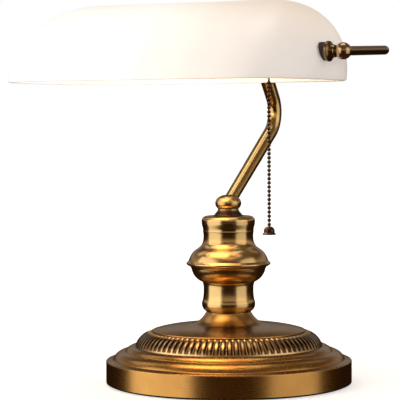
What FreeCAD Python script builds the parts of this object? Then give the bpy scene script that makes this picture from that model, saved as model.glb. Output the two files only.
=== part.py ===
import FreeCAD, Part
import os, math
import Sketcher
from FreeCAD import Vector as V, Rotation, Placement

# Banker desk lamp, millimetres, +Z up.
# Origin: centre of the felt under the round base.  The column stands on the Z axis,
# the shade is carried in front of it (-Y) by a U-shaped yoke whose arms lie along X ends.

os.makedirs("parts", exist_ok=True)
doc = FreeCAD.newDocument("banker_lamp")
sheet = doc.addObject("Spreadsheet::Sheet", "Dims")
_row = [1]
VAL = {}


def cell(alias, value):
    """Put one plain number in the sheet and give it a name."""
    if alias in VAL:
        return alias
    where = "B%d" % _row[0]
    sheet.set("A%d" % _row[0], alias)
    sheet.set(where, repr(round(float(value), 4)))
    sheet.setAlias(where, alias)
    VAL[alias] = round(float(value), 4)
    _row[0] += 1
    return alias


# ---------------------------------------------------------------- driving dimensions
for a, v in [
    ("baseRadius", 93.4), ("bandTop", 18.2), ("feltRadius", 90.6), ("feltThick", 1.6),
    ("plateThick", 0.9), ("shellFoot", 1.0), ("shellWall", 1.5),
    ("fluteCount", 88), ("fluteRadius", 1.35),
    ("pivotY", -79.0), ("pivotZ", 247.0), ("pivotBall", 5.9), ("ballX", 132.2),
    ("nippleRadius", 3.0), ("nippleBore", 1.9), ("runFit", 0.06),
    ("shadeRimZ", 227.5), ("shadeHigh", 57.5), ("shadeHalfLen", 119.3), ("shadeHalfWide", 68.0),
    ("shadeStraight", 72.0), ("shadeLean", 0.30), ("glassWall", 4.0), ("planPower", 3.15), ("risePower", 2.11),
    ("yokeRadius", 3.3), ("yokeBore", 2.4), ("yokeCorner", 15.0), ("yokeY", 4.0), ("yokeZ", 250.2),
    ("stemLowRadius", 4.9), ("stemTopRadius", 5.8), ("stemBore", 3.7), ("leadRadius", 1.5),
    ("hubRadius", 7.3), ("ballZ", 137.0),
    ("tubeRadius", 5.0), ("tubeBore", 4.0),
    ("chainX", 75.0), ("beadRadius", 1.32), ("beadPitch", 2.93), ("beadCount", 32), ("eyeZ", 226.2),
    ("inletZ", 9.0), ("inletBore", 3.4),
    ("bulbRadius", 15.0), ("bulbWall", 0.8),
]:
    cell(a, v)
doc.recompute()
D = VAL
SUB = {}          # label -> object to export


def bind_base(obj, x=None, y=None, z=None):
    for ax, e in (("x", x), ("y", y), ("z", z)):
        if e is not None:
            obj.setExpression(".Placement.Base." + ax, e)


def origin_plane(body, role):
    for f in body.Origin.OriginFeatures:
        if f.Role == role:
            return f
    raise RuntimeError(role)


def arc_points(p, q, r, n=6):
    """Points of the circular arc p-q-r after p, for a profile curve."""
    (ax, ay), (bx, by), (cx, cy) = p, q, r
    d = 2 * (ax * (by - cy) + bx * (cy - ay) + cx * (ay - by))
    ux = ((ax * ax + ay * ay) * (by - cy) + (bx * bx + by * by) * (cy - ay) + (cx * cx + cy * cy) * (ay - by)) / d
    uy = ((ax * ax + ay * ay) * (cx - bx) + (bx * bx + by * by) * (ax - cx) + (cx * cx + cy * cy) * (bx - ax)) / d
    R = math.dist(p, (ux, uy))
    a0, am, a1 = [math.atan2(t[1] - uy, t[0] - ux) for t in (p, q, r)]
    def unwrap(a, ref):
        while a - ref > math.pi: a -= 2 * math.pi
        while a - ref < -math.pi: a += 2 * math.pi
        return a
    am = unwrap(am, a0)
    a1 = unwrap(a1, am)
    out = [(ux + R * math.cos(a0 + (a1 - a0) * k / n), uy + R * math.sin(a0 + (a1 - a0) * k / n)) for k in range(1, n)]
    return out + [r]


def revolve(label, pts, side=None, angle=360.0):
    """Turned part: closed half profile (r, height) in the body's own XZ plane, about its own Z.
    pts is a list of (r, z), ("arc", rm, zm, r, z) or ("spl", [(r, z), ...]).
    Each corner of the profile is placed by two dimensions bound to the sheet."""
    body = doc.addObject("PartDesign::Body", label)
    body.Label = label
    sk = body.newObject("Sketcher::SketchObject", label + "_sk")
    sk.AttachmentSupport = [(origin_plane(body, "XZ_Plane"), "")]
    sk.MapMode = "FlatFace"
    corners = [pts[0]]
    segs = []
    prev = pts[0]
    n = len(pts)
    for k in range(1, n + 1):
        it = pts[k % n] if k < n else pts[0]
        if k == n:
            if math.dist(prev, pts[0]) > 1e-6:
                segs.append(("line", prev, pts[0]))
            break
        if it[0] == "arc":
            end = (it[3], it[4]); segs.append(("spl", prev, arc_points(prev, (it[1], it[2]), end), end)); prev = end
        elif it[0] == "spl":
            end = it[1][-1]; segs.append(("spl", prev, it[1], end)); prev = end
        else:
            segs.append(("line", prev, it)); prev = it
    ids = []
    for sg in segs:
        if sg[0] == "line":
            ids.append(sk.addGeometry(Part.LineSegment(V(sg[1][0], sg[1][1], 0), V(sg[2][0], sg[2][1], 0)), False))
        else:
            c = Part.BSplineCurve()
            c.interpolate([V(p[0], p[1], 0) for p in [sg[1]] + list(sg[2])])
            ids.append(sk.addGeometry(c, False))
    m = len(segs)

    def endpos(i, which):
        return 1 if which == "s" else 2

    for i in range(m):
        j = (i + 1) % m
        sk.addConstraint(Sketcher.Constraint("Coincident", ids[i], endpos(i, "e"), ids[j], endpos(j, "s")))
    for i, sg in enumerate(segs):
        r, z = sg[1]
        ps = endpos(i, "s")
        for nm, val, kind in (("r", r, "DistanceX"), ("z", z, "DistanceY")):
            if abs(val) < 1e-6:
                # on an axis: point on the axis line (-2 is the vertical axis, -1 the horizontal)
                sk.addConstraint(Sketcher.Constraint("PointOnObject", ids[i], ps, -2 if nm == "r" else -1))
                continue
            ci = sk.addConstraint(Sketcher.Constraint(kind, -1, 1, ids[i], ps, val))
            cname = "%s%d" % (nm, i)
            sk.renameConstraint(ci, cname)
            al = cell("%s_%s%d" % (label, nm, i), val)
            sk.setExpression(".Constraints." + cname, "Dims." + al)
    rev = body.newObject("PartDesign::Revolution", label + "_rev")
    rev.Profile = (sk, [""])
    rev.ReferenceAxis = (sk, ["V_Axis"])
    rev.Angle = angle
    body.Tip = rev
    if side is not None:
        # side +1: local Z points along +X; side -1: along -X; both at the shade pivot line
        rot = Rotation(V(0, 0, 1), V(side, 0, 0))
        body.Placement = Placement(V(0, D["pivotY"], D["pivotZ"]), rot)
        bind_base(body, y="Dims.pivotY", z="Dims.pivotZ")
    SUB[label] = body
    return body


def cyl(name, r, h, base, axis=V(0, 0, 1), rexp=None, hexp=None):
    c = doc.addObject("Part::Cylinder", name)
    c.Radius = r; c.Height = h
    if rexp: c.setExpression("Radius", rexp)
    if hexp: c.setExpression("Height", hexp)
    c.Placement = Placement(base, Rotation(V(0, 0, 1), axis))
    return c


def cut(label, base, tools, export=True):
    if len(tools) == 1:
        t = tools[0]
    else:
        t = doc.addObject("Part::MultiFuse", label + "_tools"); t.Shapes = tools
    c = doc.addObject("Part::Cut", label)
    c.Base = base; c.Tool = t
    c.Label = label
    if export:
        SUB[label] = c
    return c


def feature(label, shape, export=True):
    f = doc.addObject("Part::Feature", label)
    f.Shape = shape
    f.Placement = Placement()
    f.Label = label
    if export:
        SUB[label] = f
    return f


def arc_path(pts, radii):
    """Straight runs joined by tangent arcs."""
    edges = []
    cur = pts[0]
    for i in range(1, len(pts) - 1):
        a, b, c = pts[i - 1], pts[i], pts[i + 1]
        u = (a - b).normalize(); w = (c - b).normalize()
        ang = math.acos(max(-1, min(1, u.dot(w))))
        R = radii[i - 1]
        t = R / math.tan(ang / 2)
        p1 = b + u * t; p2 = b + w * t
        bis = (u + w).normalize()
        mid = b + bis * (R / math.sin(ang / 2) - R)
        if (p1 - cur).Length > 1e-6:
            edges.append(Part.LineSegment(cur, p1).toShape())
        edges.append(Part.Arc(p1, mid, p2).toShape())
        cur = p2
    edges.append(Part.LineSegment(cur, pts[-1]).toShape())
    return Part.Wire(edges)


def ring_at(p, d, r):
    return Part.Wire([Part.Circle(p, d, r).toShape()])


def sweep(path, r0, r1=None):
    e0 = path.Edges[0]; e1 = path.Edges[-1]
    p0 = e0.valueAt(e0.FirstParameter); t0 = e0.tangentAt(e0.FirstParameter)
    p1 = e1.valueAt(e1.LastParameter); t1 = e1.tangentAt(e1.LastParameter)
    prof = [ring_at(p0, t0, r0)]
    if r1 is not None:
        prof.append(ring_at(p1, t1, r1))
    return path.makePipeShell(prof, True, False if r1 is not None else True)


# ================================================================ base
revolve("felt_pad", [(0, 0), (D["feltRadius"], 0), (D["feltRadius"], D["feltThick"]), (0, D["feltThick"])])
revolve("bottom_plate", [(5.2, 1.6), (91.2, 1.6), (91.2, 2.5), (5.2, 2.5)])
revolve("base_weight", [(5.2, 8.4), (13.0, 8.4), (13.0, 2.6), (78.0, 2.6), (80.0, 4.6), (80.0, 10.5), ("arc", 79.1, 12.1, 77.0, 13.0),
                        (60.0, 13.5), (5.2, 13.5)])
revolve("tube_nut_washer", [(5.1, 7.4), (10.5, 7.4), (10.5, 8.35), (5.1, 8.35)])

# spun brass shell: straight band, ledge, rolled ring and small upper bead
W = D["shellWall"]
base_shell = revolve("base_shell_blank", [
    (91.7, 1.0), (92.7, 1.0), ("arc", 93.2, 1.25, 93.4, 1.9), (93.4, 17.2), ("arc", 93.1, 17.95, 92.3, 18.25),
    (88.9, 19.1), ("arc", 88.3, 19.0, 88.0, 19.5), ("arc", 84.4, 23.6, 79.4, 25.1), ("arc", 78.9, 25.0, 78.6, 25.4),
    ("arc", 76.2, 27.7, 72.6, 28.7), (62.0, 28.7), (62.0, 27.2), (72.4, 27.2), (76.6, 24.3),
    (83.6, 21.6), (86.9, 17.9), (91.7, 16.4)])
inlet_hole = cyl("inlet_hole", 5.02, 6.0, V(0, 89.5, D["inletZ"]), V(0, 1, 0))
bind_base(inlet_hole, z="Dims.inletZ")
SUB.pop("base_shell_blank")
cut("base_shell", base_shell, [inlet_hole])
b = revolve("inlet_bushing", [(3.4, -3.8), (6.2, -3.8), (6.2, -2.3), (4.95, -2.3), (4.95, 0.2), (6.6, 0.2), (6.6, 1.2), ("arc", 5.9, 2.1, 4.9, 2.5), (3.4, 2.5)])
b.Placement = Placement(V(0, 93.6, D["inletZ"]), Rotation(V(0, 0, 1), V(0, 1, 0)))
bind_base(b, z="Dims.inletZ")

# fluted ring: convex ring with slots all round
flute_blank = revolve("fluted_blank", [(71.2, 28.75), ("arc", 67.6, 35.3, 58.2, 39.7), (56.6, 39.7), (56.6, 38.0), ("arc", 65.0, 34.0, 68.4, 28.75)])
SUB.pop("fluted_blank")
doc.recompute()
tools = []
nfl = int(D["fluteCount"])
fp, fq = V(72.9, 0, 29.95), V(58.7, 0, 41.6)
slot = Part.makeCylinder(D["fluteRadius"], (fq - fp).Length, V(0, 0, 0), V(0, 0, 1))
slot.Placement = Placement(fp, Rotation(V(0, 0, 1), fq - fp))
for i in range(nfl):
    c = slot.copy()
    c.rotate(V(0, 0, 0), V(0, 0, 1), 360.0 * (i + 0.5) / nfl)
    tools.append(c)
ring = flute_blank.Shape.cut(tools)
if ring.ShapeType == "Compound" and len(ring.Solids) == 1:
    ring = ring.Solids[0]
feature("fluted_ring", ring)

revolve("base_saucer", [(57.6, 39.75), ("arc", 58.1, 40.3, 57.5, 40.9),
                        ("spl", [(54.0, 41.9), (47.0, 43.3), (38.8, 44.3), (31.0, 45.0), (25.4, 46.2), (21.6, 48.6), (18.7, 51.8), (17.0, 54.5)]),
                        (14.6, 54.5), ("spl", [(16.2, 51.2), (19.4, 47.3), (24.5, 44.5), (31.0, 43.4), (44.0, 41.8), (54.0, 39.75)])])

# ================================================================ column
revolve("column_lower", [
    (15.6, 54.6), ("arc", 18.0, 55.5, 19.4, 57.1), ("arc", 20.3, 60.0, 20.0, 62.8), (19.6, 64.0),
    ("spl", [(19.2, 66.6), (18.95, 70.0), (19.0, 73.2), (19.3, 75.6), (20.0, 77.3)]),
    (20.9, 77.8), ("arc", 25.6, 81.6, 28.0, 86.5), (28.3, 87.7), (25.6, 87.7), ("arc", 23.8, 83.1, 19.0, 79.1),
    (17.4, 77.5), (16.9, 70.0), (17.6, 62.5), (17.0, 58.1), (13.4, 56.2), (13.4, 54.6)])
revolve("column_upper", [
    (28.4, 87.8), (29.0, 88.9), (31.5, 90.4), ("arc", 32.0, 91.5, 31.3, 92.4), (30.3, 93.5),
    ("spl", [(29.3, 96.1), (27.6, 99.1), (25.0, 101.7), (22.0, 103.8), (20.2, 105.9), (19.2, 108.7), (18.9, 111.8), (19.1, 114.7), (19.3, 115.6)]),
    (16.8, 115.6), ("spl", [(17.0, 108.4), (19.2, 102.6), (24.0, 99.1), (28.4, 93.5), (29.2, 91.7)]), (27.0, 90.1), (26.0, 87.8)])
revolve("column_cap", [
    (19.3, 115.75), (19.2, 116.6), ("spl", [(19.5, 118.6), (20.1, 120.9), (20.25, 122.9)]),
    ("arc", 19.5, 126.0, 16.6, 127.4), (5.1, 127.4), (5.1, 125.6), (16.0, 125.6), (17.8, 122.8), (17.2, 115.75)])
revolve("neck_collar", [
    (5.1, 127.45), (10.9, 127.45), ("arc", 11.15, 127.9, 10.7, 128.3), (10.0, 128.45), ("arc", 10.3, 128.9, 9.9, 129.3),
    (9.2, 129.45), ("arc", 9.5, 129.85, 9.1, 130.2), (8.5, 130.35), ("arc", 8.75, 130.7, 8.4, 131.0), (8.3, 131.1), (5.1, 131.1)])
# turned cushion-shaped ball at the head of the column
zb = D["ballZ"]
pts = []
for k in range(0, 13):
    a = math.radians(-40 + k * (40 + 78) / 12.0)
    pts.append((9.9 * math.cos(a) ** 0.9, zb + 6.55 * math.sin(a)))
ball = revolve("stem_ball_blank", [(5.1, 131.15), (8.2, 131.15), pts[0], ("spl", pts[1:]), (0, pts[-1][1]), (0, 134.5), (5.1, 134.5)])
SUB.pop("stem_ball_blank")
u = V(0, 86.0, 64.6)
u.normalize()
c0 = V(0, 0, zb)
sock = cyl("stem_socket", D["stemLowRadius"] + 0.09, 14.0, c0 + u * 1.6, u, rexp="Dims.stemLowRadius + 0.09")
way1 = cyl("lead_way_up", D["stemBore"], 4.6, V(0, 0, 133.0), rexp="Dims.stemBore")
way2 = cyl("lead_way_out", D["stemBore"], 4.0, c0 - u * 0.6, u, rexp="Dims.stemBore")
cut("stem_ball", ball, [sock, way1, way2])

revolve("centre_tube", [(4.0, 3.4), (5.0, 3.4), (5.0, 133.9), (4.0, 133.9)])
hexn = doc.addObject("Part::Prism", "tube_nut_hex")
hexn.Polygon = 6; hexn.Circumradius = 9.2; hexn.Height = 3.6
hexn.Placement = Placement(V(0, 0, 3.7), Rotation())
cut("tube_nut", hexn, [cyl("tube_nut_bore", 5.02, 6, V(0, 0, 2.6))])

# ================================================================ stem, hub and yoke
py, pz, bx = D["pivotY"], D["pivotZ"], D["ballX"]
yy, yz, rc = D["yokeY"], D["yokeZ"], D["yokeCorner"]
P0 = c0 + u * 1.7
P1 = c0 + u * (86.0 / u.y)
P2 = V(0, 53.3, yz)
P3 = V(0, yy + 6.4, yz)
stem_path = arc_path([P0, P1, P2, P3], [20.0, 50.0])
outer = sweep(stem_path, D["stemLowRadius"], D["stemTopRadius"])
inner = sweep(arc_path([P0 - u * 1.0, P1, P2, P3 - V(0, 1, 0)], [20.0, 50.0]), D["stemBore"])
stem = outer.cut(inner)
if len(stem.Solids) == 1:
    stem = stem.Solids[0]
feature("stem_tube", stem)

hub = doc.addObject("Part::Sphere", "hub_ball"); hub.Radius = D["hubRadius"]
hub.setExpression("Radius", "Dims.hubRadius")
hub.Placement = Placement(V(0, yy, yz), Rotation())
bind_base(hub, y="Dims.yokeY", z="Dims.yokeZ")
hub_x = cyl("hub_cross_bore", D["yokeRadius"] + 0.02, 30, V(-15, yy, yz), V(1, 0, 0), rexp="Dims.yokeRadius + 0.02")
hub_y = cyl("hub_back_bore", D["stemTopRadius"] + 0.02, 10, V(0, yy + 6.35, yz), V(0, 1, 0), rexp="Dims.stemTopRadius + 0.02")
hub_w = cyl("hub_lead_way", 2.3, 8, V(0, yy, yz), V(0, 1, 0))
cut("yoke_hub", hub, [hub_x, hub_y, hub_w])

# the arms rise a little from the pivots to the back bar
arm = V(0, yy - py, yz - pz).normalize()


def arm_pt(side, along):
    return V(side * bx, py, pz) + arm * along


corner = [V(bx, yy, yz), V(-bx, yy, yz)]
yo = sweep(arc_path([arm_pt(1, 3.6)] + corner + [arm_pt(-1, 3.6)], [rc, rc]), D["yokeRadius"])
yi = sweep(arc_path([arm_pt(1, 2.6)] + corner + [arm_pt(-1, 2.6)], [rc, rc]), D["yokeBore"])
yoke = yo.cut([yi, Part.makeCylinder(2.0, 8, V(0, yy, yz), V(0, 1, 0))])
if len(yoke.Solids) == 1:
    yoke = yoke.Solids[0]
feature("yoke_tube", yoke)

for side, nm in ((1, "right"), (-1, "left")):
    s = doc.addObject("Part::Sphere", "yoke_ball_blank_" + nm)
    s.Radius = D["pivotBall"]; s.setExpression("Radius", "Dims.pivotBall")
    s.Placement = Placement(V(side * bx, py, pz), Rotation(V(0, 0, 1), 0 if side > 0 else 180))
    bind_base(s, y="Dims.pivotY", z="Dims.pivotZ")
    c1 = cyl("ball_bore_" + nm, D["nippleRadius"] + D["runFit"], 10.0, V(side * (bx + 1.5), py, pz), V(-side, 0, 0), rexp="Dims.nippleRadius + Dims.runFit")
    c2 = cyl("ball_socket_" + nm, D["yokeRadius"] + 0.02, 8.0, arm_pt(side, 3.58), arm, rexp="Dims.yokeRadius + 0.02")
    c3 = cyl("ball_way_" + nm, 2.3, 5.0, V(side * bx, py, pz), arm)
    cut("yoke_ball_" + nm, s, [c1, c2, c3])

# lead held inside the column, stem and yoke
lr = D["leadRadius"]
lead_pts = [V(0, 0, 10), V(0, 0, zb), P1, P2, V(0, yy, yz), V(bx, yy, yz), arm_pt(1, 2.2)]
lead_path = arc_path(lead_pts, [3.2, 20.0, 50.0, 3.0, rc])
feature("power_lead", sweep(lead_path, lr))

# ================================================================ shade glass
def shade_solid(A, As, B, H, power_plan, power_rise, lean, drop, zr, yc):
    """Glass dome: oval in plan, quarter-round ends, lens-shaped along its length, leaning to the rear.
    Lofted through upright sections across the length."""
    sections = []
    ex = A - As
    phis = [0, 14, 28, 41, 53, 63, 71, 77.5]
    xs = [(As + ex * math.sin(math.radians(p)), math.sin(math.radians(p))) for p in phis]
    mids = [-0.66 * As, -0.33 * As, 0.0, 0.33 * As, 0.66 * As]
    seq = [(-x, q) for x, q in reversed(xs)] + [(m_, 0.0) for m_ in mids] + xs
    N = 30
    for x, q in seq:
        ztop = H * (1 - q ** power_rise) ** (1 / power_rise)
        pts = []
        for j in range(N + 1):
            t = math.pi * j / N
            z = ztop * math.sin(t)
            rho = (max(0.0, 1 - (z / H) ** power_rise)) ** (1 / power_rise)
            b_ = B * max(0.0, rho ** power_plan - q ** power_plan) ** (1 / power_plan)
            if abs(math.cos(t)) < 1e-9:
                b_ = 0.0
            y = (-b_ if t < math.pi / 2 else b_) + lean * z
            pts.append(V(x, yc + y, zr + z))
        c = Part.BSplineCurve()
        c.interpolate(Points=pts, PeriodicFlag=False, Parameters=[j / N for j in range(N + 1)])
        e = [c.toShape()]
        a_, b2 = pts[-1], pts[0]
        if drop > 0:
            da, db = V(a_.x, a_.y, a_.z - drop), V(b2.x, b2.y, b2.z - drop)
            e += [Part.LineSegment(a_, da).toShape(), Part.LineSegment(da, db).toShape(), Part.LineSegment(db, b2).toShape()]
        else:
            e += [Part.LineSegment(a_, b2).toShape()]
        sections.append(Part.Wire(e))
    return Part.makeLoft(sections, True, False)


g = D["glassWall"]
zr = D["shadeRimZ"]
s_out = shade_solid(D["shadeHalfLen"], D["shadeStraight"], D["shadeHalfWide"], D["shadeHigh"], D["planPower"], D["risePower"], D["shadeLean"], 0.0, zr, py)
s_in = shade_solid(D["shadeHalfLen"] - g, D["shadeStraight"], D["shadeHalfWide"] - g, D["shadeHigh"] - g, D["planPower"], D["risePower"], D["shadeLean"], 3.0, zr, py)
print("outer valid", s_out.isValid(), s_out.Volume, "inner valid", s_in.isValid(), s_in.Volume)
glass = s_out.cut(s_in)
bore = Part.makeCylinder(3.9, 300, V(-150, py, pz), V(1, 0, 0))
glass = glass.cut(bore)
if len(glass.Solids) == 1:
    glass = glass.Solids[0]
print("glass solids", len(glass.Solids), "valid", glass.isValid(), "vol", glass.Volume, glass.BoundBox)
feature("shade_glass", glass)

# ================================================================ shade pivots and inner bracket
for side, nm in ((1, "right"), (-1, "left")):
    revolve("pivot_cap_" + nm, [(3.05, 120.15), (6.7, 120.15), ("arc", 7.05, 120.4, 7.15, 120.8), (7.15, 121.8), ("arc", 7.0, 122.3, 6.6, 122.5),
                                ("spl", [(5.7, 123.3), (4.8, 124.6), (4.3, 126.6)]), (3.05, 126.6)], side)
    revolve("pivot_nipple_" + nm, [(1.9, 94.0), (3.0, 94.0), (3.0, 130.5), (1.9, 130.5)], side)
    hx = doc.addObject("Part::Prism", "locknut_hex_" + nm)
    hx.Polygon = 6; hx.Circumradius = 5.7; hx.Height = 2.6
    hx.Placement = Placement(V(side * 102.1, py, pz), Rotation(V(0, 0, 1), V(side, 0, 0)))
    bind_base(hx, y="Dims.pivotY", z="Dims.pivotZ")
    cut("locknut_" + nm, hx, [cyl("locknut_bore_" + nm, 3.02, 6, V(side * 101, py, pz), V(side, 0, 0))])
    og = Part.makeCylinder(6.5, 9.9, V(side * 110.2, py, pz), V(side, 0, 0)).cut([s_out, Part.makeCylinder(3.1, 40, V(side * 90, py, pz), V(side, 0, 0))])
    og = max(og.Solids, key=lambda s_: s_.Volume)
    feature("outer_gasket_" + nm, og)
    ig = Part.makeCylinder(7.5, 11.0, V(side * 107.1, py, pz), V(side, 0, 0)).common(s_in).cut(Part.makeCylinder(3.1, 40, V(side * 90, py, pz), V(side, 0, 0)))
    ig = max(ig.Solids, key=lambda s_: s_.Volume)
    feature("inner_gasket_" + nm, ig)

# bent strap across the inside of the shade, carrying both pivots
bk = doc.addObject("PartDesign::Body", "inner_bracket_blank")
sk = bk.newObject("Sketcher::SketchObject", "bracket_sk")
sk.AttachmentSupport = [(origin_plane(bk, "XZ_Plane"), "")]
sk.MapMode = "FlatFace"
poly = [(107.0, -7.0), (107.0, 7.0), (86.0, 22.6), (-86.0, 22.6), (-107.0, 7.0), (-107.0, -7.0),
        (-104.8, -7.0), (-104.8, 5.9), (-85.3, 20.6), (85.3, 20.6), (104.8, 5.9), (104.8, -7.0)]
ids = [sk.addGeometry(Part.LineSegment(V(*poly[i], 0), V(*poly[(i + 1) % len(poly)], 0)), False) for i in range(len(poly))]
for i in range(len(poly)):
    sk.addConstraint(Sketcher.Constraint("Coincident", ids[i], 2, ids[(i + 1) % len(poly)], 1))
for i, (x, z) in enumerate(poly):
    for nm, val, kind in (("x", x, "DistanceX"), ("z", z, "DistanceY")):
        if val >= 0:
            ci = sk.addConstraint(Sketcher.Constraint(kind, -1, 1, ids[i], 1, val))
        else:
            ci = sk.addConstraint(Sketcher.Constraint(kind, ids[i], 1, -1, 1, -val))
        sk.renameConstraint(ci, "%s%d" % (nm, i))
        sk.setExpression(".Constraints.%s%d" % (nm, i), "Dims." + cell("bracket_%s%d" % (nm, i), abs(val)))
pad = bk.newObject("PartDesign::Pad", "bracket_pad")
pad.Profile = (sk, [""])
pad.Length = 13.0
pad.Midplane = True
cell("bracketWide", 13.0)
pad.setExpression("Length", "Dims.bracketWide")
bk.Tip = pad
bk.Placement = Placement(V(0, py, pz), Rotation())
bind_base(bk, y="Dims.pivotY", z="Dims.pivotZ")
cut("inner_bracket", bk, [cyl("bracket_bore_r", 3.02, 6, V(103, py, pz), V(1, 0, 0)), cyl("bracket_bore_l", 3.02, 6, V(-103, py, pz), V(-1, 0, 0))])

# ================================================================ lampholder, switch and bulb (all on the pivot line)
revolve("socket_cap", [(3.05, 100.0), (6.2, 100.0), ("arc", 6.9, 99.5, 7.2, 98.6), (7.6, 95.2), ("arc", 13.6, 91.4, 16.8, 86.4), (16.8, 82.6),
                       (16.0, 82.6), (16.0, 86.0), ("arc", 12.6, 90.8, 7.0, 94.0), (3.05, 94.05)], 1)
shell = revolve("socket_shell_blank", [(15.9, 40.0), (17.3, 40.0), ("arc", 17.6, 40.4, 17.3, 40.9), (16.8, 41.4), (16.8, 82.5), (15.9, 82.5)], 1)
SUB.pop("socket_shell_blank")
chx = D["chainX"]
gh = cyl("guide_hole", 2.62, 8.0, V(chx, py, pz - 20.0))
cut("socket_shell", shell, [gh])
revolve("socket_liner", [(14.7, 42.0), (15.8, 42.0), (15.8, 69.6), (14.7, 69.6)], 1)
revolve("screw_shell", [(13.5, 44.0), ("spl", [(14.2, 45.6), (13.6, 47.2), (14.2, 48.8), (13.6, 50.4), (14.2, 52.0), (13.6, 53.6), (14.2, 55.2), (13.6, 56.8), (14.2, 58.4), (13.6, 60.0)]),
                        (13.6, 67.6), (6.0, 67.6), (6.0, 68.2), (14.5, 68.2), (14.5, 44.0)], 1)
revolve("centre_contact", [(0, 66.8), (2.6, 66.8), (2.6, 69.5), (0, 69.5)], 1)
sb = revolve("switch_block_blank", [(0, 69.7), (15.7, 69.7), (15.7, 81.0), (9.0, 82.5), (9.0, 88.0), (0, 88.0)], 1)
SUB.pop("switch_block_blank")
sbore = cyl("switch_bore", 1.78, 24.0, V(chx, py, pz - 20.0))
cut("switch_block", sb, [sbore])
g_ = revolve("chain_guide", [(1.85, -17.8), (2.75, -17.8), ("arc", 3.0, -17.55, 2.85, -17.3), (2.55, -16.9), (2.55, -15.75), (1.85, -15.75)])
g_.Placement = Placement(V(chx, py, pz), Rotation())
bind_base(g_, x="Dims.chainX", y="Dims.pivotY", z="Dims.pivotZ")
# plunger: rod in the switch, with the chain's eye at its lower end
ez = D["eyeZ"] - pz
pl = revolve("switch_plunger", [(0, 1.0), (1.7, 1.0), (1.7, -14.6), (0.8, -15.0), (0.8, ez + 0.9), ("arc", 1.35, ez, 0.6, ez - 1.1), (0, ez - 1.1)])
pl.Placement = Placement(V(chx, py, pz), Rotation())
bind_base(pl, x="Dims.chainX", y="Dims.pivotY", z="Dims.pivotZ")

feature("socket_lead", sweep(Part.Wire([Part.LineSegment(V(129.7, py, pz), V(88.6, py, pz)).toShape()]), lr))

revolve("bulb_cap", [(0, 66.6), (4.6, 66.6), (6.0, 65.2), (11.4, 61.2), (12.4, 60.6),
                     ("spl", [(13.1, 59.2), (12.5, 57.6), (13.1, 56.0), (12.5, 54.4), (13.1, 52.8), (12.5, 51.2), (13.1, 49.6), (12.5, 48.0), (13.1, 46.4), (12.6, 44.8)]),
                     (13.0, 41.0), (13.0, 38.0), (0, 38.0)], 1)
R = D["bulbRadius"]; w = D["bulbWall"]
revolve("bulb_glass", [(12.2, 37.95), (12.9, 37.95), ("spl", [(13.4, 34.0), (14.6, 28.0), (R, 21.0)]), (R, -62.0), ("arc", R * 0.7071, -62.0 - R * 0.7071, 0.0, -62.0 - R),
                       (0, -62.0 - R + w), ("arc", (R - w) * 0.7071, -62.0 - (R - w) * 0.7071, R - w, -62.0), (R - w, 20.6), ("spl", [(13.8, 27.6), (12.7, 33.6), (12.2, 37.95)])], 1)
revolve("bulb_stem", [(0, 37.9), (7.0, 37.9), ("spl", [(5.2, 33.0), (3.6, 28.0), (2.6, 22.0)]), (0, 20.0)], 1)
feature("bulb_filament", Part.makeCylinder(0.5, 74.0, V(19.9, py, pz), V(-1, 0, 0)))

# ================================================================ pull chain
br, bp, ez = D["beadRadius"], D["beadPitch"], D["eyeZ"]


def bead(z):
    return Part.makeSphere(br, V(chx, py, z)).cut(Part.makeCylinder(0.45, 4 * br, V(chx, py, z - 2 * br)))


def pin(z, h=1.9):
    return Part.makeCylinder(0.34, h, V(chx, py, z - h / 2))


z1 = ez - 2.95
feature("chain_top_bead", bead(z1))
z2 = z1 - bp
feature("chain_second_bead", Part.makeCompound([bead(z2), pin(z2, 2.1)]))
n_b = int(D["beadCount"])
zs = [z2 - bp * (i + 1) for i in range(n_b)]
feature("chain_beads", Part.makeCompound([bead(z) for z in zs]))
feature("chain_links", Part.makeCompound([pin((zs[i] + zs[i + 1]) / 2) for i in range(n_b - 1)]))
zl = zs[-1]
print("last bead z", zl)
bell = revolve("pull_bell", [(0, 0), (1.0, 0), ("arc", 3.3, -1.4, 3.75, -4.2), (4.6, -5.2), ("arc", 4.75, -5.6, 4.4, -5.9), (3.4, -5.9), (2.9, -4.4), ("arc", 2.4, -2.4, 0.8, -1.2), (0, -1.2)])
bell.Placement = Placement(V(chx, py, zl - br - 0.02), Rotation())
bind_base(bell, x="Dims.chainX", y="Dims.pivotY")

# ================================================================ check and export
doc.recompute()
bad = []
for o in doc.Objects:
    st = [s_ for s_ in o.State if s_ in ("Invalid", "Error")]
    if st:
        bad.append((o.Name, st))
for lab, o in SUB.items():
    sh = o.Shape
    if sh.isNull() or not sh.isValid() or not sh.Solids:
        bad.append((lab, "shape"))
if bad:
    raise RuntimeError("failed objects: %r" % bad)
for lab, o in SUB.items():
    o.Label = lab
    o.Shape.exportStep("parts/%s.step" % lab)
    bb = o.Shape.BoundBox
    print("%-22s n=%2d vol=%10.1f  x %.1f..%.1f y %.1f..%.1f z %.1f..%.1f" % (lab, len(o.Shape.Solids), o.Shape.Volume, bb.XMin, bb.XMax, bb.YMin, bb.YMax, bb.ZMin, bb.ZMax))
print("nodes", len(SUB), "cells", len(VAL))
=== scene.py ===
import bpy, bmesh, math
from mathutils import Vector, Matrix


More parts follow.
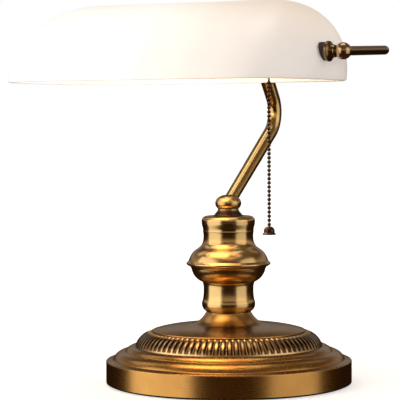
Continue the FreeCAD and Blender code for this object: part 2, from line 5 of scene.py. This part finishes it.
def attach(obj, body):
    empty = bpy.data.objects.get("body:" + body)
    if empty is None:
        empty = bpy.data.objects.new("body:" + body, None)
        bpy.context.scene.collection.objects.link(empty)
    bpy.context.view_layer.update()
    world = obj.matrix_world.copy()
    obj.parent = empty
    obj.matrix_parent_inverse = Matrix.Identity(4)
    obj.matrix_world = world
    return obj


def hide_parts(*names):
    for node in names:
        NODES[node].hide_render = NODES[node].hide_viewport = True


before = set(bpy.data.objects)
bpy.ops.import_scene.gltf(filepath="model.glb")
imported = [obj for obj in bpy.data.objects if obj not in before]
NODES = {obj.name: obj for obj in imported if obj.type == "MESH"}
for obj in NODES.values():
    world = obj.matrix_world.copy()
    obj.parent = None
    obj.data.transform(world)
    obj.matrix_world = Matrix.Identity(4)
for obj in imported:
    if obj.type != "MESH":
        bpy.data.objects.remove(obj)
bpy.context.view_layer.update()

scene = bpy.context.scene
scene.view_settings.view_transform = "Standard"


# ------------------------------------------------------------------ material helpers
class Mat:
    """A Principled material with a few helpers for wiring procedural detail."""

    def __init__(self, name):
        self.m = bpy.data.materials.new(name)
        self.m.use_nodes = True
        self.t = self.m.node_tree
        self.t.nodes.clear()
        self.out = self.n("ShaderNodeOutputMaterial")
        self.p = self.n("ShaderNodeBsdfPrincipled")
        self.link(self.p.outputs[0], self.out.inputs["Surface"])
        self.obj = self.n("ShaderNodeTexCoord").outputs["Object"]

    def n(self, kind, **kw):
        node = self.t.nodes.new(kind)
        for k, v in kw.items():
            setattr(node, k, v)
        return node

    def link(self, a, b):
        self.t.links.new(a, b)

    def put(self, sock, v):
        if isinstance(v, bpy.types.NodeSocket):
            self.link(v, sock)
        else:
            sock.default_value = v

    def math(self, op, a, b=0.0, clamp=False):
        node = self.n("ShaderNodeMath", operation=op, use_clamp=clamp)
        self.put(node.inputs[0], a)
        self.put(node.inputs[1], b)
        return node.outputs[0]

    def xyz(self, vec=None):
        node = self.n("ShaderNodeSeparateXYZ")
        self.link(vec or self.obj, node.inputs[0])
        return node.outputs[0], node.outputs[1], node.outputs[2]

    def vec(self, x, y, z):
        node = self.n("ShaderNodeCombineXYZ")
        for i, v in enumerate((x, y, z)):
            self.put(node.inputs[i], v)
        return node.outputs[0]

    def noise(self, vec, scale, detail=2.0, rough=0.5, dist=0.0):
        node = self.n("ShaderNodeTexNoise")
        self.link(vec, node.inputs["Vector"])
        node.inputs["Scale"].default_value = scale
        node.inputs["Detail"].default_value = detail
        node.inputs["Roughness"].default_value = rough
        node.inputs["Distortion"].default_value = dist
        return node.outputs["Fac"]

    def voronoi(self, vec, scale, feature="F1"):
        node = self.n("ShaderNodeTexVoronoi", feature=feature)
        self.link(vec, node.inputs["Vector"])
        node.inputs["Scale"].default_value = scale
        return node.outputs["Distance"]

    def ramp(self, fac, stops, mode="LINEAR"):
        node = self.n("ShaderNodeValToRGB")
        node.color_ramp.interpolation = mode
        els = node.color_ramp.elements
        while len(els) > 1:
            els.remove(els[-1])
        for i, (p, c) in enumerate(stops):
            e = els[0] if i == 0 else els.new(p)
            e.position = p
            e.color = (c, c, c, 1) if isinstance(c, (int, float)) else (c[0], c[1], c[2], 1)
        self.link(fac, node.inputs[0])
        return node.outputs["Color"]

    def remap(self, v, a, b, c, d, clamp=True):
        node = self.n("ShaderNodeMapRange", clamp=clamp)
        self.put(node.inputs[0], v)
        for i, x in enumerate((a, b, c, d)):
            self.put(node.inputs[i + 1], x)
        return node.outputs[0]

    def mix(self, fac, a, b, mode="MIX"):
        node = self.n("ShaderNodeMix", data_type="RGBA", blend_type=mode)
        self.put(node.inputs[0], fac)
        for i, v in ((6, a), (7, b)):
            if isinstance(v, bpy.types.NodeSocket):
                self.link(v, node.inputs[i])
            else:
                node.inputs[i].default_value = (v[0], v[1], v[2], 1)
        return node.outputs[2]

    def bump(self, height, dist, strength=1.0, under=None):
        node = self.n("ShaderNodeBump")
        node.inputs["Strength"].default_value = strength
        node.inputs["Distance"].default_value = dist
        self.link(height, node.inputs["Height"])
        if under is not None:
            self.link(under, node.inputs["Normal"])
        return node.outputs["Normal"]

    def set(self, **kw):
        names = {"color": "Base Color", "rough": "Roughness", "metal": "Metallic", "normal": "Normal", "ior": "IOR",
                 "coat": "Coat Weight", "coat_rough": "Coat Roughness", "trans": "Transmission Weight", "alpha": "Alpha",
                 "sheen": "Sheen Weight", "emit": "Emission Color", "glow": "Emission Strength", "spec": "Specular IOR Level"}
        for k, v in kw.items():
            s = self.p.inputs[names[k]]
            if isinstance(v, bpy.types.NodeSocket):
                self.link(v, s)
            elif isinstance(v, tuple):
                s.default_value = (v[0], v[1], v[2], 1)
            else:
                s.default_value = v
        return self.m


def brass(name, turned, bright, dark, rough=(0.25, 0.33), line=0.7):
    """Lacquered metal with painted shade darkening it towards its grazing edges. turned: None, "Z" (about the column)
    or "X" (about the pivot line).
    """
    k = Mat(name)
    x, y, z = k.xyz()
    if turned == "Z":
        r = k.math("SQRT", k.math("ADD", k.math("MULTIPLY", x, x), k.math("MULTIPLY", y, y)))
        v = k.vec(r, z, 0.0)
    elif turned == "X":
        yy = k.math("ADD", y, 0.079)
        zz = k.math("SUBTRACT", z, 0.247)
        r = k.math("SQRT", k.math("ADD", k.math("MULTIPLY", yy, yy), k.math("MULTIPLY", zz, zz)))
        v = k.vec(r, x, 0.0)
    else:
        v = k.obj
    lines = k.noise(v, 900 if turned else 1300, 3.0, 0.65)
    broad = k.noise(v, 210 if turned else 260, 2.0, 0.5)
    patina = k.noise(k.obj, 21, 4.0, 0.6, 0.4)
    cloud = k.noise(k.obj, 70, 3.0, 0.55)
    pits = k.noise(k.obj, 620, 2.0, 0.7)
    age = k.remap(k.math("ADD", k.math("MULTIPLY", patina, 0.62), k.math("MULTIPLY", cloud, 0.38)), 0.36, 0.68, 0.0, 1.0)
    col = k.mix(k.math("MULTIPLY", age, 0.32), bright, dark)
    col = k.mix(k.remap(lines, 0.35, 0.7, 0.0, 0.18 * line), col, dark)
    col = k.mix(k.remap(pits, 0.68, 0.76, 0.0, 0.4), col, [c * 0.45 for c in dark])
    # painted shade: the brass colour is pulled towards black at grazing angles, standing in for the dark reflections
    # along its edges
    rim = k.n("ShaderNodeLayerWeight")
    rim.inputs["Blend"].default_value = 0.5
    col = k.mix(k.remap(k.math("POWER", rim.outputs["Facing"], 2.2), 0.14, 0.75, 0.0, 0.85), col, [c * 0.22 for c in dark])
    rg = k.remap(k.math("ADD", k.math("MULTIPLY", cloud, 0.5), k.math("MULTIPLY", lines, 0.5)), 0.3, 0.7, rough[0], rough[1])
    nrm = k.bump(lines, 0.000025 * line, 0.30)
    nrm = k.bump(broad, 0.00005 * line, 0.25, nrm)
    nrm = k.bump(pits, 0.00001, 0.12, nrm)
    return k.set(color=col, metal=1.0, rough=rg, normal=nrm, coat=0.30, coat_rough=0.16)


def again(m):
    """Reopen a finished material to add to it."""
    k = Mat.__new__(Mat)
    k.m, k.t = m, m.node_tree
    k.p = next(n for n in k.t.nodes if n.type == "BSDF_PRINCIPLED")
    k.obj = next(n for n in k.t.nodes if n.type == "TEX_COORD").outputs["Object"]
    return k


def ringed(name, bright, dark, foot, pitch):
    """Turned brass with painted shade in a stack of grooves, the first at height foot."""
    k = again(brass(name, "Z", bright, dark))
    x, y, z = k.xyz()
    f = k.math("FRACT", k.math("DIVIDE", k.math("SUBTRACT", z, foot - pitch / 2), pitch))
    d = k.math("ABSOLUTE", k.math("SUBTRACT", f, 0.5))
    old = k.p.inputs["Base Color"].links[0].from_socket
    # painted shade: near black in the middle of each groove
    k.put(k.p.inputs["Base Color"], k.mix(k.remap(d, 0.06, 0.26, 0.92, 0.0), old, (0.025, 0.011, 0.005)))
    return k.m


def shaded(name, bright, dark, low, high):
    """Turned brass with painted shade: near black below height low, fading to the plain brass by height high."""
    k = again(brass(name, "Z", bright, dark))
    x, y, z = k.xyz()
    old = k.p.inputs["Base Color"].links[0].from_socket
    # painted shade: the underside of the knop goes near black
    k.put(k.p.inputs["Base Color"], k.mix(k.remap(z, low, high, 0.9, 0.0), old, (0.035, 0.016, 0.007)))
    return k.m


def fluted(name, bright, dark):
    """The ring's brass with painted shade in its 88 slots."""
    m = brass(name, "Z", bright, dark)
    k = again(m)
    x, y, z = k.xyz()
    turn = k.math("MULTIPLY", k.math("ARCTAN2", y, x), 88 / (2 * math.pi))
    across = k.math("ABSOLUTE", k.math("SUBTRACT", k.math("FRACT", turn), 0.5))      # 0 at a slot's middle, 0.5 on a rib
    r = k.math("SQRT", k.math("ADD", k.math("MULTIPLY", x, x), k.math("MULTIPLY", y, y)))
    band = k.math("MULTIPLY", k.remap(z, 0.0293, 0.0302, 0.0, 1.0), k.remap(z, 0.0392, 0.0384, 0.0, 1.0))
    slot = k.math("MULTIPLY", k.remap(across, 0.42, 0.30, 0.0, 1.0), band)
    old = k.p.inputs["Base Color"].links[0].from_socket
    # painted shade: the slots go near black, mottled by noise
    slot_shade_color = k.mix(k.remap(k.noise(k.obj, 400, 2.0), 0.3, 0.7, 0.0, 1.0), (0.030, 0.013, 0.005), (0.075, 0.035, 0.012))
    k.put(k.p.inputs["Base Color"], k.mix(k.math("MULTIPLY", slot, 0.97), old, slot_shade_color))
    return m


BRIGHT, DARK = (0.68, 0.455, 0.185), (0.36, 0.165, 0.035)
M = {}
M["brass_z"] = brass("antique_brass_turned", "Z", (0.72, 0.49, 0.205), DARK, (0.18, 0.25), 0.5)
M["brass_flute"] = fluted("antique_brass_fluted", (0.80, 0.56, 0.27), (0.42, 0.20, 0.05))
M["brass_saucer"] = brass("antique_brass_saucer", "Z", (0.66, 0.38, 0.125), (0.36, 0.15, 0.03), (0.27, 0.34), 0.45)
# painted shade and painted warm reflection: the base's brass is a darker, more orange copy, for the dimmer light low on
# the lamp and the shade's warm glow
M["brass_base"] = brass("antique_brass_base", "Z", (0.60, 0.31, 0.075), (0.33, 0.12, 0.018), (0.24, 0.31), 0.3)
M["brass_neck"] = ringed("antique_brass_neck", (0.13, 0.062, 0.028), (0.055, 0.024, 0.010), 0.12838, 0.00097)
M["brass_knop"] = shaded("antique_brass_knop", BRIGHT, DARK, 0.1312, 0.1336)
# painted shade: the yoke's brass is a darker copy, for the duller reflections the arm gets
M["brass_yoke"] = brass("antique_brass_yoke", None, (0.40, 0.27, 0.15), (0.17, 0.09, 0.04), (0.20, 0.29), 0.5)
M["brass_yball"] = brass("antique_brass_yoke_ball", None, (0.56, 0.38, 0.19), (0.26, 0.13, 0.05), (0.18, 0.27), 0.5)
M["brass_cap"] = brass("antique_brass_pivot_cap", "X", (0.30, 0.19, 0.085), (0.10, 0.048, 0.018), (0.20, 0.30))
M["brass_x"] = brass("antique_brass_spun", "X", BRIGHT, DARK)
M["brass_tube"] = brass("antique_brass_drawn", None, (0.70, 0.47, 0.18), (0.45, 0.23, 0.055), (0.20, 0.26), 0.3)
M["plain_brass"] = brass("plain_brass_turned", "X", (0.80, 0.60, 0.28), (0.58, 0.37, 0.13), (0.16, 0.30), 0.8)
M["bronze"] = brass("dark_bronze_oiled", None, (0.085, 0.043, 0.023), (0.022, 0.011, 0.007), (0.30, 0.44), 0.8)


def opal():
    k = Mat("opal_glass_lit")
    x, y, z = k.xyz()
    along = k.remap(x, -0.12, 0.12, 0.0, 1.0)
    swirl = k.noise(k.obj, 14, 3.0, 0.5, 0.8)
    fine = k.noise(k.obj, 900, 2.0, 0.6)
    along = k.math("ADD", along, k.math("MULTIPLY", k.math("SUBTRACT", swirl, 0.5), 0.05))
    # painted light: the emission along the shade's length stands in for the bulb's light through the glass, near white
    # at the left and dimmer and pinker towards the socket end
    glow = k.ramp(along, [(0.0, (0.66, 0.655, 0.64)), (0.45, (0.68, 0.675, 0.63)), (0.60, (0.63, 0.59, 0.52)),
                          (0.74, (0.56, 0.49, 0.435)), (0.84, (0.49, 0.425, 0.39)), (0.93, (0.44, 0.395, 0.37)), (1.0, (0.43, 0.39, 0.37))], "EASE")
    # painted light: a peach glow on the crown near the right-hand end
    crown = k.math("MULTIPLY", k.remap(z, 0.250, 0.283, 0.0, 1.0), k.remap(x, 0.02, 0.09, 0.0, 1.0))
    glow = k.mix(k.math("MULTIPLY", crown, 0.6), glow, (0.50, 0.37, 0.25))
    # painted shade: the glow is dimmed at grazing angles, giving the shade a grey outline
    face = k.n("ShaderNodeLayerWeight")
    face.inputs["Blend"].default_value = 0.35
    edge = k.math("POWER", face.outputs["Facing"], 4.0)
    strength = k.math("SUBTRACT", 1.0, k.math("MULTIPLY", edge, 0.5))
    base = k.mix(k.remap(swirl, 0.35, 0.65, 0.0, 0.35), (0.88, 0.875, 0.865), (0.82, 0.81, 0.795))
    nrm = k.bump(swirl, 0.0006, 0.12)
    nrm = k.bump(fine, 0.00002, 0.15, nrm)
    return k.set(color=base, rough=k.remap(fine, 0.3, 0.7, 0.26, 0.34), ior=1.5, spec=0.3, normal=nrm, emit=glow, glow=strength)


M["opal"] = opal()


def felt():
    k = Mat("pressed_felt")
    fib = k.noise(k.obj, 2400, 4.0, 0.7, 1.2)
    clump = k.noise(k.obj, 240, 3.0, 0.6)
    col = k.mix(k.remap(clump, 0.3, 0.7, 0.0, 1.0), (0.020, 0.030, 0.022), (0.050, 0.062, 0.048))
    col = k.mix(k.remap(fib, 0.5, 0.8, 0.0, 0.5), col, (0.11, 0.12, 0.10))
    return k.set(color=col, rough=0.95, sheen=0.4, normal=k.bump(fib, 0.0003, 0.8))


def iron():
    k = Mat("rough_cast_iron")
    g = k.voronoi(k.obj, 900)
    c = k.noise(k.obj, 90, 5.0, 0.65)
    col = k.mix(k.remap(c, 0.35, 0.65, 0.0, 1.0), (0.055, 0.052, 0.05), (0.12, 0.075, 0.05))
    return k.set(color=col, metal=0.6, rough=k.remap(c, 0.3, 0.7, 0.5, 0.8), normal=k.bump(g, 0.0004, 0.6, k.bump(c, 0.0008, 0.5)))


def zinc():
    k = Mat("zinc_plated_steel")
    sp = k.voronoi(k.obj, 160)
    f = k.noise(k.obj, 700, 3.0, 0.6)
    col = k.mix(k.remap(sp, 0.0, 0.8, 0.0, 1.0), (0.50, 0.51, 0.52), (0.66, 0.66, 0.63))
    col = k.mix(k.remap(f, 0.6, 0.75, 0.0, 0.5), col, (0.30, 0.30, 0.29))
    return k.set(color=col, metal=1.0, rough=k.remap(sp, 0.0, 0.8, 0.28, 0.42), normal=k.bump(f, 0.0001, 0.4))


def plastic(name, a, b, rough, scale, bump=0.00008):
    k = Mat(name)
    c = k.noise(k.obj, scale, 3.0, 0.6, 0.6)
    g = k.noise(k.obj, scale * 9, 2.0, 0.6)
    col = k.mix(k.remap(c, 0.35, 0.65, 0.0, 1.0), a, b)
    return k.set(color=col, rough=k.remap(c, 0.3, 0.7, rough[0], rough[1]), normal=k.bump(g, bump, 0.5))


def rubber():
    k = Mat("dark_brown_rubber")
    c = k.noise(k.obj, 180, 3.0, 0.6)
    g = k.noise(k.obj, 1900, 2.0, 0.6)
    col = k.mix(k.remap(c, 0.3, 0.7, 0.0, 1.0), (0.035, 0.022, 0.016), (0.075, 0.048, 0.034))
    return k.set(color=col, rough=0.72, normal=k.bump(g, 0.00012, 0.5))


def card():
    k = Mat("insulating_card")
    x, y, z = k.xyz()
    fib = k.noise(k.vec(k.math("MULTIPLY", x, 3.0), y, z), 700, 4.0, 0.7, 0.5)
    col = k.mix(k.remap(fib, 0.3, 0.7, 0.0, 1.0), (0.60, 0.50, 0.36), (0.78, 0.70, 0.56))
    return k.set(color=col, rough=0.85, normal=k.bump(fib, 0.0002, 0.6))


def alu():
    k = Mat("rolled_aluminium")
    x, y, z = k.xyz()
    l = k.noise(k.vec(x, 0.0, 0.0), 2200, 2.0, 0.6)
    c = k.noise(k.obj, 90, 3.0, 0.6)
    col = k.mix(k.remap(c, 0.3, 0.7, 0.0, 1.0), (0.72, 0.71, 0.68), (0.55, 0.53, 0.50))
    return k.set(color=col, metal=1.0, rough=k.remap(c, 0.3, 0.7, 0.25, 0.4), normal=k.bump(l, 0.00006, 0.5))


def bulb_lit():
    k = Mat("frosted_bulb_lit")
    x, y, z = k.xyz()
    fr = k.noise(k.obj, 1500, 2.0, 0.6)
    hot = k.remap(x, -0.078, 0.038, 0.0, 1.0)
    col = k.ramp(hot, [(0.0, (1.0, 0.56, 0.19)), (0.18, (1.0, 0.60, 0.20)), (0.8, (1.0, 0.60, 0.20)), (1.0, (0.9, 0.42, 0.12))])
    st = k.math("MULTIPLY", k.remap(fr, 0.3, 0.7, 0.94, 1.06), BULB)
    return k.set(color=(0.93, 0.91, 0.86), rough=0.55, normal=k.bump(fr, 0.00005, 0.5), emit=col, glow=st)


BULB = 9.0


def clear():
    k = Mat("clear_pressed_glass")
    c = k.noise(k.obj, 130, 2.0, 0.5)
    return k.set(color=(0.94, 0.97, 0.96), rough=k.remap(c, 0.3, 0.7, 0.02, 0.08), trans=1.0, ior=1.5, normal=k.bump(c, 0.0003, 0.3))


def wire():
    k = Mat("coiled_filament")
    x, y, z = k.xyz()
    w = k.n("ShaderNodeTexWave", wave_type="BANDS", bands_direction="X")
    k.link(k.obj, w.inputs["Vector"])
    w.inputs["Scale"].default_value = 900
    w.inputs["Distortion"].default_value = 0.4
    col = k.mix(w.outputs["Fac"], (0.22, 0.17, 0.13), (0.62, 0.52, 0.42))
    return k.set(color=col, metal=1.0, rough=0.35, normal=k.bump(w.outputs["Fac"], 0.0003, 0.8), emit=(1.0, 0.62, 0.25), glow=6.0)


M["felt"] = felt()
M["iron"] = iron()
M["steel"] = zinc()
M["nylon"] = plastic("black_nylon", (0.016, 0.016, 0.017), (0.030, 0.029, 0.028), (0.38, 0.52), 260)
M["lead"] = plastic("gold_insulation", (0.36, 0.22, 0.08), (0.48, 0.31, 0.13), (0.25, 0.40), 240)
M["rubber"] = rubber()
M["card"] = card()
M["bakelite"] = plastic("phenolic", (0.030, 0.017, 0.012), (0.055, 0.028, 0.018), (0.14, 0.26), 55, 0.00004)
M["alu"] = alu()
M["bulb"] = bulb_lit()
M["clear"] = clear()
M["wire"] = wire()

USE = {
    "felt": ["felt_pad"], "steel": ["bottom_plate", "tube_nut_washer", "centre_tube", "tube_nut"], "iron": ["base_weight"],
    "brass_flute": ["fluted_ring"],
    "brass_base": ["base_shell"], "brass_saucer": ["base_saucer"],
    "brass_z": ["column_lower", "column_upper", "column_cap"],
    "brass_knop": ["stem_ball"],
    "brass_neck": ["neck_collar"],
    "brass_tube": ["stem_tube", "chain_guide"],
    "brass_yoke": ["yoke_hub", "yoke_tube"], "brass_yball": ["yoke_ball_right", "yoke_ball_left"],
    "brass_cap": ["pivot_cap_right", "pivot_cap_left"],
    "brass_x": ["socket_cap", "socket_shell"],
    "plain_brass": ["pivot_nipple_right", "pivot_nipple_left", "locknut_right", "locknut_left", "inner_bracket", "screw_shell", "centre_contact"],
    "bronze": ["switch_plunger", "chain_top_bead", "chain_second_bead", "chain_beads", "chain_links", "pull_bell"],
    "nylon": ["inlet_bushing"], "lead": ["power_lead", "socket_lead"],
    "rubber": ["outer_gasket_right", "outer_gasket_left", "inner_gasket_right", "inner_gasket_left"],
    "card": ["socket_liner"], "bakelite": ["switch_block"], "alu": ["bulb_cap"], "bulb": ["bulb_glass"],
    "clear": ["bulb_stem"], "wire": ["bulb_filament"], "opal": ["shade_glass"],
}
for key, names in USE.items():
    for nm in names:
        o = NODES[nm]
        if not o.material_slots:
            o.data.materials.append(M[key])
        for s in o.material_slots:
            s.material = M[key]


# ------------------------------------------------------------------ glass shade
def shade_piece():
    """Oval-ended dome, lens-shaped along its length, leaning to the rear, with a rounded rim and two pivot holes."""
    A, As, B, H = 0.11818, 0.072, 0.068, 0.0575
    kp, mp, lean, wall, zr, yc = 3.15, 2.11, 0.30, 0.004, 0.2275, -0.079
    nst, nen = 20, 34

    def ring(inset, sink, z, rho=None):
        a, b, h = A - inset, B - inset, H - sink
        if rho is None:
            rho = max(0.0, 1 - (z / h) ** mp) ** (1 / mp)
        pts = []
        for side in (1, -1):
            for j in range(nst):                       # straight run, front for side 1, rear for side -1
                f = j / nst
                pts.append((side * (-As + 2 * As * f), -side * b * rho))
            for j in range(nen):                       # rounded end
                t = math.pi * j / nen
                q = rho * abs(math.sin(t)) ** (2 / kp)
                c = math.cos(t)
                w = b * rho * math.copysign(abs(c) ** (2 / kp), c)
                pts.append((side * (As + (a - As) * q), -side * w))
        return [Vector((x, yc + y + lean * z, zr + z)) for x, y in pts]

    rings = []
    lip = 0.0013
    n = 40
    f0 = math.asin((lip / H) ** (mp / 2))
    for i in range(n, -1, -1):
        f = f0 + (math.pi / 2 - f0) * i / n
        rings.append(ring(0, 0, H * math.sin(f) ** (2 / mp), max(0.0, math.cos(f)) ** (2 / mp) if i < n else 0.0))
    for i in range(1, 8):
        a = math.pi * i / 8
        rings.append(ring(wall / 2 * (1 - math.cos(a)), 0, lip * (1 - math.sin(a))))
    Hi = H - wall
    f1 = math.asin((lip / Hi) ** (mp / 2))
    for i in range(0, n + 1):
        f = f1 + (math.pi / 2 - f1) * i / n
        rings.append(ring(wall, wall, Hi * math.sin(f) ** (2 / mp), max(0.0, math.cos(f)) ** (2 / mp) if i < n else 0.0))
    bm = bmesh.new()
    vs = [[bm.verts.new(p) for p in r] for r in rings]
    m = len(vs[0])
    for a, b in zip(vs, vs[1:]):
        for j in range(m):
            bm.faces.new((a[j], b[j], b[(j + 1) % m], a[(j + 1) % m]))
    bmesh.ops.remove_doubles(bm, verts=bm.verts, dist=2e-6)
    bmesh.ops.dissolve_degenerate(bm, edges=bm.edges, dist=1e-7)
    bmesh.ops.recalc_face_normals(bm, faces=bm.faces)
    # the merge above has stitched each collapsed crown line shut where the front and rear halves meet
    me = bpy.data.meshes.new("opal_shade")
    bm.to_mesh(me)
    bm.free()
    o = bpy.data.objects.new("opal_shade", me)
    scene.collection.objects.link(o)
    for side in (1, -1):
        cb = bmesh.new()
        bmesh.ops.create_cone(cb, cap_ends=True, segments=48, radius1=0.0039, radius2=0.0039, depth=0.030)
        cb.transform(Matrix.Translation((side * 0.114, -0.079, 0.247)) @ Matrix.Rotation(math.pi / 2, 4, "Y"))
        cm = bpy.data.meshes.new("hole")
        cb.to_mesh(cm)
        cb.free()
        co = bpy.data.objects.new("hole", cm)
        scene.collection.objects.link(co)
        md = o.modifiers.new("hole", "BOOLEAN")
        md.operation = "DIFFERENCE"
        md.solver = "EXACT"
        md.object = co
        bpy.context.view_layer.update()
        new = bpy.data.meshes.new_from_object(o.evaluated_get(bpy.context.evaluated_depsgraph_get()))
        o.modifiers.clear()
        o.data = new
        bpy.data.objects.remove(co)
        bpy.data.meshes.remove(cm)
    for p in o.data.polygons:
        p.use_smooth = True
    o.data.materials.clear()
    o.data.materials.append(M["opal"])
    return o


shade = shade_piece()
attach(shade, "shade")
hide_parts("shade_glass")

# ------------------------------------------------------------------ floor
fm = Mat("pale_floor")
x, y, z = fm.xyz()
far = fm.math("SQRT", fm.math("ADD", fm.math("MULTIPLY", x, x), fm.math("MULTIPLY", y, y)))
tone = fm.noise(fm.obj, 3.0, 3.0, 0.5)
grain = fm.noise(fm.obj, 900, 2.0, 0.6)
# painted shadow: the floor's glow is 0.62 within 0.1 m of the lamp's axis and rises to full at 0.5 m
floor_glow_with_painted_shadow = fm.remap(far, 0.10, 0.50, 0.62, 1.0)
fm.set(color=fm.mix(fm.remap(tone, 0.3, 0.7, 0.0, 1.0), (0.80, 0.80, 0.80), (0.84, 0.84, 0.835)), rough=0.9, spec=0.1,
       normal=fm.bump(grain, 0.0001, 0.1), emit=(0.97, 0.985, 1.0), glow=floor_glow_with_painted_shadow)
bm = bmesh.new()
bmesh.ops.create_circle(bm, cap_ends=True, segments=96, radius=7.0)
me = bpy.data.meshes.new("floor")
bm.to_mesh(me)
bm.free()
floor = bpy.data.objects.new("floor", me)
scene.collection.objects.link(floor)
floor.location = (0, 0, -0.0002)
me.materials.append(fm.m)
floor.visible_glossy = False
floor.visible_diffuse = False

# ------------------------------------------------------------------ world: white to the camera, a dim warm room to everything else
w = bpy.data.worlds.new("studio")
scene.world = w
w.use_nodes = True
t = w.node_tree
t.nodes.clear()
tc = t.nodes.new("ShaderNodeTexCoord")
sp = t.nodes.new("ShaderNodeSeparateXYZ")
t.links.new(tc.outputs["Generated"], sp.inputs[0])
mr = t.nodes.new("ShaderNodeMapRange")
mr.inputs[1].default_value = -1.0
mr.inputs[2].default_value = 1.0
t.links.new(sp.outputs[2], mr.inputs[0])
cr = t.nodes.new("ShaderNodeValToRGB")
els = cr.color_ramp.elements
els[0].position, els[0].color = 0.0, (0.06, 0.034, 0.016, 1)
els[1].position, els[1].color = 1.0, (0.20, 0.15, 0.10, 1)
for p_, c_ in ((0.42, (0.022, 0.009, 0.003)), (0.51, (0.026, 0.010, 0.004)), (0.55, (0.18, 0.13, 0.09)), (0.59, (0.46, 0.39, 0.31)), (0.65, (0.44, 0.36, 0.27)), (0.74, (0.09, 0.055, 0.03))):
    e_ = els.new(p_)
    e_.color = (*c_, 1)
t.links.new(mr.outputs[0], cr.inputs[0])
bg = t.nodes.new("ShaderNodeBackground")
t.links.new(cr.outputs[0], bg.inputs[0])
bgc = t.nodes.new("ShaderNodeBackground")
bgc.inputs[0].default_value = (1, 1, 1, 1)
lp = t.nodes.new("ShaderNodeLightPath")
ms = t.nodes.new("ShaderNodeMixShader")
t.links.new(lp.outputs["Is Camera Ray"], ms.inputs[0])
t.links.new(bg.outputs[0], ms.inputs[1])
t.links.new(bgc.outputs[0], ms.inputs[2])
wo = t.nodes.new("ShaderNodeOutputWorld")
t.links.new(ms.outputs[0], wo.inputs[0])

# ------------------------------------------------------------------ softboxes, placed by bearing from the viewer's side
AZ = 28.216


def softbox(name, bearing, dist, wide, high, zc, radiance, color, tilt_to=(0, -0.02, 0.15)):
    """bearing: degrees to the right of the direction from the lamp to the camera."""
    a = math.radians(AZ + bearing)
    pos = Vector((math.sin(a) * dist, -math.cos(a) * dist, zc))
    ld = bpy.data.lights.new(name, "AREA")
    ld.shape = "RECTANGLE"
    ld.size = wide
    ld.size_y = high
    ld.color = color
    ld.energy = radiance * math.pi * wide * high
    lo = bpy.data.objects.new(name, ld)
    lo.location = pos
    d = Vector(tilt_to) - pos
    lo.rotation_euler = d.to_track_quat("-Z", "Y").to_euler()
    scene.collection.objects.link(lo)
    return lo


softbox("key_left", -68, 2.4, 3.2, 3.2, 0.55, 1.42, (1.0, 0.98, 0.94), (0, 0, 0.55))
softbox("fill_right", 63, 2.4, 2.4, 3.0, 0.50, 0.90, (1.0, 0.98, 0.94), (0, 0, 0.50))
softbox("back_left", -128, 2.4, 1.2, 1.2, 2.1, 0.70, (1.0, 0.97, 0.91), (0, 0, 0.10))
softbox("back_right", 142, 2.4, 0.9, 1.0, 2.1, 0.25, (1.0, 0.97, 0.91), (0, 0, 0.10))
softbox("overhead", 180, 0.35, 1.3, 1.1, 2.3, 1.9, (1.0, 0.98, 0.94), (0, 0.0, 0.15))

# ------------------------------------------------------------------ camera
cam_az, cam_d, cam_f, cam_pitch, cam_roll, cam_pan, cam_h = 28.216, 1.408236, 1856.351, 2.451, 0.249, 0.872, 0.199743
az = math.radians(cam_az)
C = Vector((cam_d * math.sin(az), -cam_d * math.cos(az), cam_h))
a2, pt, rl = math.radians(cam_az + cam_pan), math.radians(cam_pitch), math.radians(cam_roll)
fw = Vector((-math.sin(a2) * math.cos(pt), math.cos(a2) * math.cos(pt), -math.sin(pt)))
rt = Vector((math.cos(a2), math.sin(a2), 0))
up = rt.cross(fw)
r2 = rt * math.cos(rl) - up * math.sin(rl)
u2 = rt * math.sin(rl) + up * math.cos(rl)
cd = bpy.data.cameras.new("cam")
cam = bpy.data.objects.new("cam", cd)
scene.collection.objects.link(cam)
cam.matrix_world = Matrix(((r2.x, u2.x, -fw.x, C.x), (r2.y, u2.y, -fw.y, C.y), (r2.z, u2.z, -fw.z, C.z), (0, 0, 0, 1)))
cd.sensor_width = 36
cd.lens = cam_f * 36 / 400
cd.clip_start, cd.clip_end = 0.05, 60
scene.camera = cam
